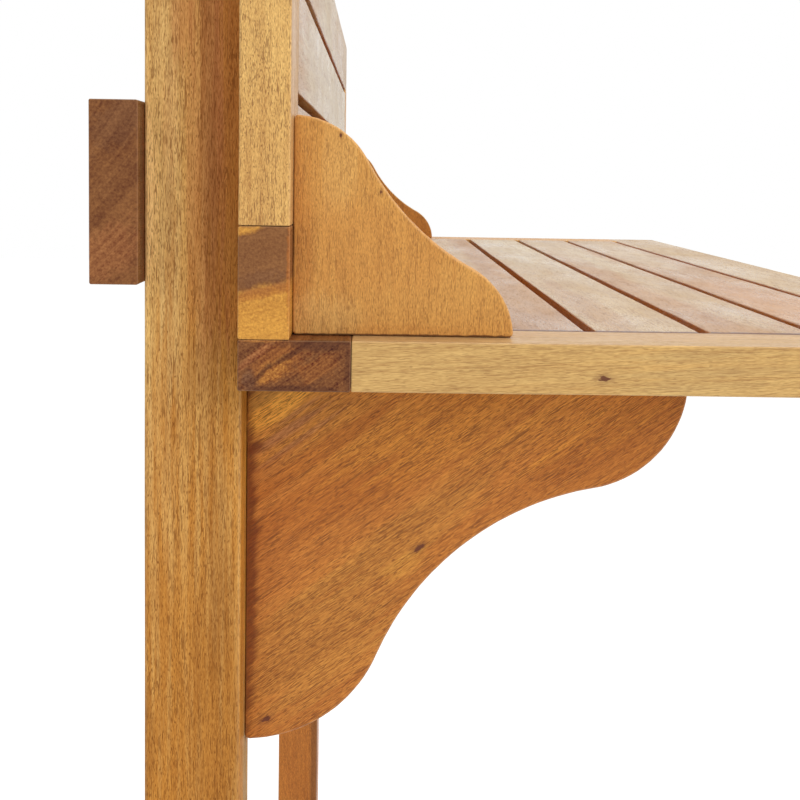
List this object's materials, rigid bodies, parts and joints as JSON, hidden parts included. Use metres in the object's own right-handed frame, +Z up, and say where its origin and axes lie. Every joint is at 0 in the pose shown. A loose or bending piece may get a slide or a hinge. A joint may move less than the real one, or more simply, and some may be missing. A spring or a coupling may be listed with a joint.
{
  "type": "balcony bar table",
  "caption": "Tall wooden balcony table: slatted top on curved brackets between two uprights, slatted backboard with small end guards, back battens and floor runners.",
  "frame": {"origin": "middle of the bounding box's footprint, on the floor", "axes": "+X along the top to the user's right, +Y away from the user towards the battens, +Z up"},
  "size_m": [0.9, 0.413, 1.225],
  "materials": {
    "leg_wood": "oiled hardwood, satin",
    "runner_wood": "oiled hardwood, satin",
    "batten_wood": "oiled hardwood, satin",
    "lower_batten_wood": "oiled hardwood, satin",
    "back_rail_wood": "oiled hardwood, satin",
    "front_rail_wood": "oiled hardwood, satin",
    "end_rail_wood": "oiled hardwood, satin",
    "slat_wood": "oiled hardwood, satin",
    "board_rail_wood": "oiled hardwood, satin",
    "stile_wood": "oiled hardwood, satin",
    "board_slat_wood": "oiled hardwood, satin",
    "cleat_wood": "oiled hardwood, satin",
    "bracket_wood": "oiled hardwood, satin",
    "guard_wood": "oiled hardwood, satin",
    "dowel_wood": "plain beech, matt",
    "zinc_steel": "zinc plated",
    "insert_brass": "plain",
    "glide_plastic": "matt"
  },
  "bodies": {
    "root": {"left_leg": "leg_wood", "right_leg": "leg_wood", "left_runner": "runner_wood", "right_runner": "runner_wood", "floor_glides": "glide_plastic", "upper_batten": "batten_wood", "lower_batten": "lower_batten_wood", "top_back_rail": "back_rail_wood", "top_front_rail": "front_rail_wood", "top_left_end_rail": "end_rail_wood", "top_right_end_rail": "end_rail_wood", "top_slat_1": "slat_wood", "top_slat_2": "slat_wood", "top_slat_3": "slat_wood", "top_slat_4": "slat_wood", "top_slat_5": "slat_wood", "top_cleat": "cleat_wood", "board_bottom_rail": "board_rail_wood", "board_top_rail": "board_rail_wood", "board_left_stile": "stile_wood", "board_right_stile": "stile_wood", "board_lower_slat": "board_slat_wood", "board_upper_slat": "board_slat_wood", "board_cleat": "cleat_wood", "left_shelf_bracket": "bracket_wood", "right_shelf_bracket": "bracket_wood", "left_end_guard": "guard_wood", "right_end_guard": "guard_wood", "leg_bolts": "zinc_steel", "insert_nuts": "insert_brass", "runner_bolts": "zinc_steel", "barrel_nuts": "zinc_steel", "runner_dowels": "dowel_wood", "batten_screws": "zinc_steel", "cleat_screws": "zinc_steel", "rail_screws": "zinc_steel", "top_dowels": "dowel_wood", "board_dowels": "dowel_wood", "bracket_dowels": "dowel_wood", "guard_dowels": "dowel_wood"}
  },
  "joints": []
}
